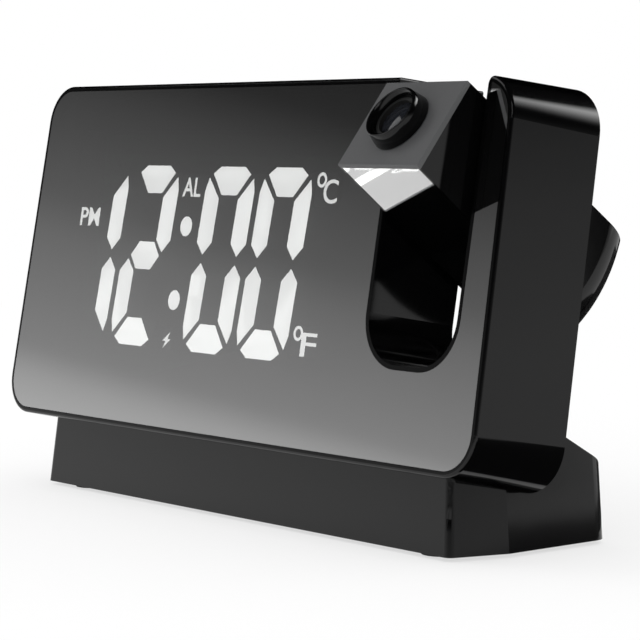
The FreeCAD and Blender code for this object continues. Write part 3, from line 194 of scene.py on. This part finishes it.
def clear_acrylic(name, tint, see_through):
    """Uncoated side of the acrylic: almost clear, with moulding haze."""
    finish = Finish(name)
    haze = finish.grain(0.05, 3.0)
    return finish.skin(
        base_color=finish.mix(haze, tint, [1.3 * c for c in tint]),
        roughness=0.05 + haze * 0.05,
        normal=finish.relief(haze, 0.003),
        specular_ior_level=0.0,
        alpha=1.0 - see_through)


COATING = (0.87, 0.87, 0.87)
ARM_COATING = (0.98, 0.98, 0.98)
LEAN = math.radians(9.6)
ARM_LEAN = math.radians(-52.5)
FACES_OUT = 0.98


def facing(lean):
    """Test for the polygons that face out of a plate leaning back by this angle."""
    outward = Vector((0, -math.cos(lean), math.sin(lean)))
    return lambda face: face.normal.dot(outward) > FACES_OUT


dress(clear_acrylic("acrylic_back", (0.01, 0.01, 0.01), 0.97), "mirror_panel")
dress_some(half_mirror("face_mirror", COATING, 0.28), "mirror_panel", facing(LEAN))
dress(clear_acrylic("acrylic_edge", (0.004, 0.004, 0.004), 0.0), "projector_panel")
dress_some(half_mirror("arm_mirror", ARM_COATING, 0.0), "projector_panel", facing(ARM_LEAN))

# Light mask and figures: a matt black moulding with a white window in each cell, lit from
# behind by the chips on the display board.


def matt_moulding(name, shade, per_mm=1.6, depth_mm=0.03, roughness=0.6):
    """Spark-eroded black plastic with a fine even grain; also the painted shade of the unlit figure windows.
    """
    finish = Finish(name)
    pits = finish.grain(per_mm, 4.0)
    wear = finish.grain(0.05, 3.0)
    return finish.skin(
        base_color=finish.mix(pits * 0.4 + wear * 0.4, shade, [1.9 * c + 0.003 for c in shade]),
        roughness=roughness + pits * 0.15 - wear * 0.08,
        normal=finish.relief(pits, depth_mm))


def lit_window(name, colour, strength):
    """Milky window with a bright heart and a slight unevenness."""
    finish = Finish(name)
    cloud = finish.grain(0.16, 2.0)
    milk = finish.grain(3.0, 2.0)
    return finish.skin(
        base_color=finish.mix(milk, [0.30 * c for c in colour], [0.34 * c for c in colour]),
        roughness=0.45 + milk * 0.1,
        emission_color=finish.mix(cloud, [0.93 * c for c in colour], colour),
        emission_strength=strength,
        normal=finish.relief(milk, 0.01))


SAME_CORNER = 0.01 * MM


def separate_solids(mesh):
    """Polygons of each solid in a mesh, told apart by the corners that they share."""
    groups = []
    for face in mesh.polygons:
        corners = {tuple(round(c / SAME_CORNER) for c in mesh.vertices[i].co) for i in face.vertices}
        faces = [face]
        apart = []
        for known_corners, known_faces in groups:
            if corners & known_corners:
                corners |= known_corners
                faces += known_faces
            else:
                apart.append((known_corners, known_faces))
        groups = apart + [(corners, faces)]
    return [faces for corners, faces in groups]


def middle_on_face(mesh, faces):
    """Middle of some polygons in millimetres along and up the clock face."""
    points = [(face_frame.inverted() @ mesh.vertices[i].co) / MM for face in faces for i in face.vertices]
    return [(min(p[k] for p in points) + max(p[k] for p in points)) / 2 for k in (0, 2)]


WINDOW_WHITE = (0.97, 0.98, 0.97)
# Near-black painted shade for the unlit figure windows, in place of their milky white.
WINDOW_PAINTED_SHADE = (0.004, 0.004, 0.004)
FIGURE_LIGHT = 2.15
FACE_FOOT = Vector((0.0, -26.928, 19.1)) * MM
DARK_WINDOWS = [(-47.7, 53.6), (-34.5, 32.7), (-9.3, 43.2), (13.2, 43.2)]
WINDOW_REACH = 2.0
face_frame = Matrix.Translation(FACE_FOOT) @ Matrix.Rotation(-LEAN, 4, "X")
mask_black = matt_moulding("mask_moulding", (0.004, 0.004, 0.004))
figure_white = lit_window("figure_window", WINDOW_WHITE, FIGURE_LIGHT)
dress(mask_black, "segment_mask")
dress(figure_white, "segment_diffusers")
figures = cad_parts["segment_diffusers"].data
unlit = set()
for faces in separate_solids(figures):
    x, z = middle_on_face(figures, faces)
    if any(max(abs(x - a), abs(z - b)) < WINDOW_REACH for a, b in DARK_WINDOWS):
        unlit.update(face.index for face in faces)
# The unlit figure windows get a near-black painted shade, so they look dark behind the mirror.
window_shade = matt_moulding("window_painted_shade", WINDOW_PAINTED_SHADE)
dress_some(window_shade, "segment_diffusers", lambda face: face.index in unlit)
dress(lit_window("chip_light", (1.0, 0.97, 0.88), 2.0), "display_leds")

# Indicator windows: printed black film with clear lettering, one in each small window of the
# mask.  The marks are the usual ones for afternoon, alarm, degrees and charging.

FILM_DEPTH = 1.95
FILM_T = 0.75
LETTER_T = 0.06
FILM_CORNER = 0.25
FILMS = [((-74.6, 49.8), (-64.2, 55.4)), ((-29.3, 57.8), (-20.3, 63.8)), ((25.1, 57.0), (34.3, 64.9)),
         ((23.6, 21.8), (34.3, 29.4)), ((-29.0, 20.4), (-24.4, 25.6))]
LETTERS = [("PM", (-73.3, 50.0), (-64.4, 54.7), 0.012), ("AL", (-28.3, 58.3), (-20.7, 63.0), 0.012),
           ("C", (28.4, 57.7), (33.7, 63.3), 0.008), ("F", (27.5, 22.3), (33.2, 27.8), 0.008)]
DEGREE_SIGNS = [(27.3, 63.1), (26.0, 27.5)]
DEGREE_OUTER = 1.75
DEGREE_INNER = 1.05
BOLT = [(-25.6, 24.7), (-28.4, 22.5), (-27.0, 22.5), (-27.9, 20.8), (-25.0, 23.0), (-26.4, 23.0)]


def on_face(x, z, depth):
    """Point of the clock face, from millimetres along, up and into it."""
    return Vector((x, depth, z)) * MM


def face_piece(name, mesh, material):
    """Object drawn in the face's frame, set in its place."""
    mesh.transform(face_frame)
    piece = bpy.data.objects.new(name, mesh)
    bpy.context.scene.collection.objects.link(piece)
    mesh.materials.append(material)
    return piece


def prism_into(bm, outline, near, far):
    """Adds a flat plate with the given outline of face points between two depths."""
    front = [bm.verts.new(on_face(x, z, near)) for x, z in outline]
    behind = [bm.verts.new(on_face(x, z, far)) for x, z in outline]
    count = len(outline)
    bm.faces.new(front)
    bm.faces.new(list(reversed(behind)))
    for i in range(count):
        j = (i + 1) % count
        bm.faces.new([front[j], front[i], behind[i], behind[j]])


def rounded_rectangle(low, high, radius, steps=6):
    """Outline with round corners from (x, z) low to high."""
    points = []
    middles = [(high[0] - radius, high[1] - radius, 0), (low[0] + radius, high[1] - radius, 90),
               (low[0] + radius, low[1] + radius, 180), (high[0] - radius, low[1] + radius, 270)]
    for x, z, start in middles:
        for i in range(steps + 1):
            turn = math.radians(start + 90 * i / steps)
            points.append((x + radius * math.cos(turn), z + radius * math.sin(turn)))
    return points


def lettering_into(bm, words, low, high, weight):
    """Adds words as solid letters that fill the box from low to high on the face."""
    curve = bpy.data.curves.new("letters", "FONT")
    curve.body = words
    curve.offset = weight
    curve.extrude = 0.5
    curve.resolution_u = 6
    typed = bpy.data.objects.new("letters", curve)
    mesh = bpy.data.meshes.new_from_object(typed)
    left = min(v.co.x for v in mesh.vertices)
    right = max(v.co.x for v in mesh.vertices)
    foot = min(v.co.y for v in mesh.vertices)
    head = max(v.co.y for v in mesh.vertices)
    for v in mesh.vertices:
        x = low[0] + (v.co.x - left) / (right - left) * (high[0] - low[0])
        z = low[1] + (v.co.y - foot) / (head - foot) * (high[1] - low[1])
        v.co = on_face(x, z, FILM_DEPTH - LETTER_T * (0.5 + v.co.z))
    bm.from_mesh(mesh)
    bpy.data.objects.remove(typed)
    bpy.data.meshes.remove(mesh)


def degree_into(bm, x, z, outer, inner, steps=40):
    """Adds the small ring of a degree sign."""
    rings = []
    for depth in (FILM_DEPTH - LETTER_T, FILM_DEPTH):
        for radius in (inner, outer):
            rings.append([bm.verts.new(on_face(x + radius * math.cos(2 * math.pi * i / steps),
                                               z + radius * math.sin(2 * math.pi * i / steps), depth))
                          for i in range(steps)])
    for first, second in ((0, 1), (1, 3), (3, 2), (2, 0)):
        for i in range(steps):
            j = (i + 1) % steps
            bm.faces.new([rings[first][i], rings[first][j], rings[second][j], rings[second][i]])


film = bmesh.new()
marks = bmesh.new()
for low, high in FILMS:
    prism_into(film, rounded_rectangle(low, high, FILM_CORNER), FILM_DEPTH, FILM_DEPTH + FILM_T)
for words, low, high, weight in LETTERS:
    lettering_into(marks, words, low, high, weight)
for x, z in DEGREE_SIGNS:
    degree_into(marks, x, z, DEGREE_OUTER, DEGREE_INNER)
prism_into(marks, BOLT, FILM_DEPTH - LETTER_T, FILM_DEPTH)
for bm, name, material in ((film, "indicator_film", mask_black),
                           (marks, "indicator_marks", figure_white)):
    bmesh.ops.recalc_face_normals(bm, faces=bm.faces)
    mesh = bpy.data.meshes.new(name)
    bm.to_mesh(mesh)
    bm.free()
    piece = face_piece(name, mesh, material)
    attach(piece, "clock")
    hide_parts("icon_diffusers")
    "white_diffuser" if name == "indicator_marks" else "matt_black"

# Boards: green glass laminate with copper tracks under the resist, the folded ribbon between
# them, the push switches, the temperature bead and the boards in base and arm.


TRACKS_PER_M = 260.0
TRACK_GAP = 0.035


def board_finish(name, shade):
    """Solder resist over tracks and a ground plane."""
    finish = Finish(name)
    spot = finish.place()
    tracks = finish.node("ShaderNodeTexBrick", {"offset": 0.5},
                         {"Vector": spot, "Scale": TRACKS_PER_M, "Mortar Size": TRACK_GAP,
                          "Color1": (0, 0, 0, 1), "Color2": (0.25, 0.25, 0.25, 1),
                          "Mortar": (1, 1, 1, 1)}, out="Fac")
    weave = finish.grain(1.2, 2.0)
    return finish.skin(
        base_color=finish.mix(tracks * 0.7 + weave * 0.3, shade, [1.8 * c for c in shade]),
        roughness=0.3 + weave * 0.15,
        normal=finish.relief(tracks, 0.03))


def woven_metal(name, shade, roughness, stretch):
    """Metal with fine drawn lines one way."""
    finish = Finish(name)
    lines = finish.grain(1.4, 3.0, stretch)
    stain = finish.grain(0.2, 3.0)
    return finish.skin(
        base_color=finish.mix(lines * 0.6 + stain * 0.3, [0.75 * c for c in shade], shade),
        metallic=1.0,
        roughness=roughness + lines * 0.16,
        normal=finish.relief(lines, 0.01))


board_green = board_finish("board_resist", (0.012, 0.09, 0.035))
dress(board_green, "display_board", "main_board", "port_board", "projector_board")
dress(board_finish("ribbon_film", (0.42, 0.20, 0.03)), "display_ribbon")
switch_black = matt_moulding("switch_moulding", (0.012, 0.012, 0.013), 2.2, 0.02, 0.5)
dress(switch_black, "key_switches", "snooze_switch", "temperature_sensor", "sounder")
screw_steel = woven_metal("screw_steel", (0.42, 0.42, 0.43), 0.28, (1.0, 1.0, 6.0))
dress(screw_steel, "board_screws", "cover_screws", "mount_screws", "base_screws", "pivot_clips")

# Back of the clock: the cover is moulded in fine matt black, its five keys and the snooze bar
# in gloss black, pushed from behind into their holes.

cover_black = matt_moulding("cover_moulding", (0.010, 0.010, 0.011), 1.1, 0.05, 0.48)
dress(cover_black, "rear_cover", "base_plate", "battery_door", "cell_holder")
key_black = gloss_black("key_gloss", (0.006, 0.006, 0.006), 0.16)
dress(key_black, "button_set", "button_alarm", "button_up", "button_down", "button_projector")
dress(gloss_black("snooze_gloss", SHELL_BLACK, 0.09), "snooze_bar")

# Projector arm: a gloss black case with a satin end plate; the smooth focus ring turns in it and
# carries the lens in its cell.  Behind the lens sit the picture glass, condenser and lamp.

ARM_BLACK = (0.0010, 0.0010, 0.0011)
dress(gloss_black("arm_gloss", ARM_BLACK, 0.06), "projector_case")


def satin_paint(name, shade):
    """Satin sprayed plastic: very fine orange peel."""
    finish = Finish(name)
    peel = finish.grain(1.5, 2.0)
    cloud = finish.grain(0.06, 2.0)
    return finish.skin(
        base_color=finish.mix(cloud, [0.93 * c for c in shade], [1.07 * c for c in shade]),
        roughness=0.42 + peel * 0.10,
        normal=finish.relief(peel, 0.012))


dress(satin_paint("end_plate_satin", (0.075, 0.076, 0.078)), "lens_plate")
RING_PROFILE = [(6.18, -8.0), (6.18, 0.2), (7.40, 0.25), (6.62, 3.85), (6.56, 4.02), (6.42, 4.10),
                (6.12, 4.10), (5.98, 4.02), (5.37, 3.20), (5.37, -8.0), (6.18, -8.0)]
RING_SIDES = 128
LENS_FACE = Vector((68.25, -24.453, 93.826)) * MM
LENS_AXIS = Vector((0.0, -0.793353, 0.608761))
ring_mesh = bpy.data.meshes.new("smooth_ring")
ring_spots = []
ring_faces = []
for i in range(RING_SIDES):
    turn = 2 * math.pi * i / RING_SIDES
    ring_spots += [(r * math.cos(turn) * MM, r * math.sin(turn) * MM, h * MM) for r, h in RING_PROFILE[:-1]]
around = len(RING_PROFILE) - 1
for i in range(RING_SIDES):
    here = i * around
    there = (i + 1) % RING_SIDES * around
    for k in range(around):
        after = (k + 1) % around
        ring_faces.append((here + k, there + k, there + after, here + after))
ring_mesh.from_pydata(ring_spots, [], ring_faces)
ring_mesh.transform(Matrix.Translation(LENS_FACE) @ LENS_AXIS.to_track_quat("Z", "Y").to_matrix().to_4x4())
for face in ring_mesh.polygons:
    face.use_smooth = True
ring = bpy.data.objects.new("smooth_ring", ring_mesh)
bpy.context.scene.collection.objects.link(ring)
ring_mesh.materials.append(gloss_black("ring_gloss", ARM_BLACK, 0.10))
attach(ring, "focus_ring")
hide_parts("focus_ring")
optics_black = matt_moulding("optics_moulding", (0.006, 0.006, 0.006), 1.8, 0.02, 0.55)
dress(optics_black, "lens_cell", "optics_carrier", "pivot_pin_left", "pivot_pin_right", "pivot_washers")


def lens_glass(name, tint, clear):
    """Coated glass: deep and dark, with a faint bloom of the coating."""
    finish = Finish(name)
    bloom = finish.grain(0.08, 2.0)
    return finish.skin(
        base_color=finish.mix(bloom, tint, [1.4 * c for c in tint]),
        roughness=0.02 + bloom * 0.02,
        normal=finish.relief(bloom, 0.002),
        alpha=clear,
        coat_weight=0.15 + bloom * 0.1)


dress(lens_glass("front_lens", (0.012, 0.013, 0.016), 0.75), "projection_lens")
dress(lens_glass("inner_glass", (0.05, 0.06, 0.06), 0.6), "picture_glass", "condenser_lens")
dress(lit_window("lamp_body", (1.0, 0.95, 0.75), 0.0), "projector_lamp")

# Base: a gloss black saddle screwed to the shell, closed below by a matt plate with rubber
# pads, the sounder's grille and the coin cell's door; both sockets open at the back.

dress(gloss_black("base_gloss", (0.0012, 0.0012, 0.0013), 0.08), "base_shell")
dress(woven_metal("socket_steel", (0.55, 0.55, 0.56), 0.22, (6.0, 1.0, 1.0)), "charge_socket", "power_inlet")
dress(woven_metal("cell_steel", (0.62, 0.62, 0.62), 0.2, (1.0, 1.0, 1.0)), "coin_cell")
dress(matt_moulding("foot_rubber", (0.012, 0.012, 0.012), 0.9, 0.04, 0.85), "rubber_feet")

# Studio: a white sweep, white air and two soft boxes.  A dark tent with a pale hem, a black flag,
# a bright cloth behind and two dark sheets are seen by polished surfaces only; the sheet beside the
# base is a painted shadow of the table.

FLOOR_HALF = 4.0
FLOOR_FADE = (0.25, 0.8)
FLOOR_LIFT = 0.65
PAPER_LOW = (0.92, 0.92, 0.92)
PAPER_HIGH = (0.94, 0.94, 0.94)
TENT_R = 2.6
TENT_DARK = 0.008
FLAG_R = 0.42
CLOTH_R = 0.9


def studio_plane(name, half):
    """Flat square on the table's level."""
    mesh = bpy.data.meshes.new(name)
    corners = [(-half, -half, 0), (half, -half, 0), (half, half, 0), (-half, half, 0)]
    mesh.from_pydata(corners, [], [(0, 1, 2, 3)])
    made = bpy.data.objects.new(name, mesh)
    bpy.context.scene.collection.objects.link(made)
    return made


def seen_directly(finish):
    """1 for rays from the camera, from polished surfaces and through glass."""
    path = finish.node("ShaderNodeLightPath", out="Is Camera Ray")
    glossy = finish.node("ShaderNodeLightPath", out="Is Glossy Ray")
    through = finish.node("ShaderNodeLightPath", out="Is Transmission Ray")
    return path.math("MAXIMUM", path, glossy.math("MAXIMUM", glossy, through))


floor = studio_plane("sweep", FLOOR_HALF)
paper = Finish("sweep_paper")
away = paper.node("ShaderNodeVectorMath", {"operation": "LENGTH"}, {0: paper.place()}, out="Value")
fibre = paper.grain(0.5, 2.0)
white = paper.mix(fibre, PAPER_LOW, PAPER_HIGH)
matt = paper.node("ShaderNodeBsdfDiffuse", {}, {"Color": white})
glow = paper.node("ShaderNodeEmission", {}, {"Color": (1, 1, 1, 1), "Strength": 1.0})
lift = seen_directly(paper) * (FLOOR_LIFT + away.between(*FLOOR_FADE) * (1.0 - FLOOR_LIFT))
sheet = paper.node("ShaderNodeMixShader", {}, {0: lift, 1: matt, 2: glow})
paper.node("ShaderNodeOutputMaterial", {}, {"Surface": sheet})
floor.data.materials.append(paper.block)

world = bpy.data.worlds.new("studio_air")
bpy.context.scene.world = world
air = Finish("studio_air", world)
sky = air.node("ShaderNodeBackground", {}, {"Color": (1, 1, 1, 1), "Strength": 1.0})
air.node("ShaderNodeOutputWorld", {}, {"Surface": sky})


def tent_wall(name, radius, low, high, start, end, shades, fade=0.0):
    """Curved cloth wall seen only in polished surfaces; its sides fade over some degrees."""
    around = 96
    rows = 48
    mesh = bpy.data.meshes.new(name)
    points = []
    faces = []
    for j in range(rows + 1):
        rise = math.radians(low + (high - low) * j / rows)
        for i in range(around + 1):
            turn = math.radians(start + (end - start) * i / around)
            reach = radius * math.cos(rise)
            points.append((reach * math.cos(turn), reach * math.sin(turn), radius * math.sin(rise)))
    for j in range(rows):
        for i in range(around):
            first = j * (around + 1) + i
            faces.append((first, first + 1, first + around + 2, first + around + 1))
    mesh.from_pydata(points, [], faces)
    made = bpy.data.objects.new(name, mesh)
    bpy.context.scene.collection.objects.link(made)
    made.visible_camera = False
    made.visible_diffuse = False
    made.visible_transmission = False
    made.visible_shadow = False
    cloth = Finish(name)
    height = cloth.node("ShaderNodeSeparateXYZ", {}, {0: cloth.place()}, out="Z") / radius
    tone = cloth.node("ShaderNodeValToRGB", {"stops": [(math.sin(math.radians(rise)), (tone, tone, tone))
                                                       for rise, tone in shades]}, {0: height})
    strength = 1.0
    if fade:
        east = cloth.node("ShaderNodeSeparateXYZ", {}, {0: cloth.place()}, out="X")
        north = cloth.node("ShaderNodeSeparateXYZ", {}, {0: cloth.place()}, out="Y")
        turn = north.math("ARCTAN2", north, east)
        near = math.radians(start)
        far = math.radians(end)
        soft = math.radians(fade)
        strength = turn.between(near, near + soft) * (1.0 - turn.between(far - soft, far))
    glow = cloth.node("ShaderNodeEmission", {}, {"Color": tone, "Strength": strength})
    cloth.node("ShaderNodeOutputMaterial", {}, {"Surface": glow})
    mesh.materials.append(cloth.block)


tent_wall("tent", TENT_R, 0.0, 90.0, 0.0, 360.0,
          [(0.0, 0.95), (3.0, 0.80), (5.3, 0.52), (6.1, 0.34), (9.1, 0.22), (10.2, 0.15), (12.9, 0.08),
           (14.2, 0.035), (18.0, TENT_DARK)])
tent_wall("black_flag", FLAG_R, 0.0, 70.0, 98.0, 186.0, [(0.0, 0.0), (70.0, 0.0)])
tent_wall("back_cloth", CLOTH_R, 0.0, 44.0, 40.0, 98.0,
          [(0.0, 1.9), (6.0, 2.8), (20.0, 5.0), (30.0, 9.0), (40.0, 7.0), (44.0, 1.0)], fade=20.0)


def dark_card(name, low, high):
    """Dark sheet on the table between two corners, seen only in polished surfaces, where it darkens the
    table's reflection.
    """
    mesh = bpy.data.meshes.new(name)
    corners = [(low[0], low[1], CARD_RISE), (high[0], low[1], CARD_RISE),
               (high[0], high[1], CARD_RISE), (low[0], high[1], CARD_RISE)]
    mesh.from_pydata(corners, [], [(0, 1, 2, 3)])
    card = bpy.data.objects.new(name, mesh)
    bpy.context.scene.collection.objects.link(card)
    for kind in ("camera", "diffuse", "transmission", "shadow"):
        setattr(card, "visible_" + kind, False)
    darkening = Finish(name)
    darkening.skin(base_color=darkening.mix(darkening.grain(0.5), CARD_LOW, CARD_HIGH), roughness=0.9)
    mesh.materials.append(darkening.block)


CARD_RISE = 0.5 * MM
CARD_LOW = (0.001, 0.001, 0.001)
CARD_HIGH = (0.002, 0.002, 0.002)
dark_card("card_behind", (-0.60, 0.055), (0.10, 0.45))
# Painted shadow of the table beside the base, seen only in polished surfaces.
dark_card("painted_shadow_beside", (0.088, -0.04), (0.24, 0.20))


def soft_box(name, place, aim, width, height, radiance):
    """Rectangular diffuser of even brightness."""
    lamp = bpy.data.lights.new(name, "AREA")
    lamp.shape = "RECTANGLE"
    lamp.size = width
    lamp.size_y = height
    lamp.energy = math.pi * width * height * radiance
    made = bpy.data.objects.new(name, lamp)
    made.location = place
    made.rotation_euler = (Vector(aim) - Vector(place)).to_track_quat("-Z", "Y").to_euler()
    bpy.context.scene.collection.objects.link(made)


BOX_AIM = (0, 0, 0.05)
BOX_RADIANCE = 1.6
soft_box("left_fill", (-0.95, -0.85, 0.95), BOX_AIM, 0.8, 0.8, BOX_RADIANCE)
soft_box("right_fill", (0.75, -1.05, 0.90), BOX_AIM, 0.6, 0.6, BOX_RADIANCE)

# Camera: a long lens a little above the middle of the clock, off its right-hand front.

CAMERA_PLACE = Vector((506.085, -381.521, 90.655)) * MM
CAMERA_YAW = 52.577
CAMERA_PITCH = -3.969
CAMERA_LENS = 147.71
CAMERA_SENSOR = 36.0
CAMERA_NEAR = 0.05

eye = bpy.data.cameras.new("camera")
eye.lens = CAMERA_LENS
eye.sensor_width = CAMERA_SENSOR
eye.clip_start = CAMERA_NEAR
camera = bpy.data.objects.new("camera", eye)
camera.location = CAMERA_PLACE
camera.rotation_euler = (math.radians(90 + CAMERA_PITCH), 0, math.radians(CAMERA_YAW))
bpy.context.scene.collection.objects.link(camera)
bpy.context.scene.camera = camera
bpy.context.scene.view_settings.view_transform = "Standard"
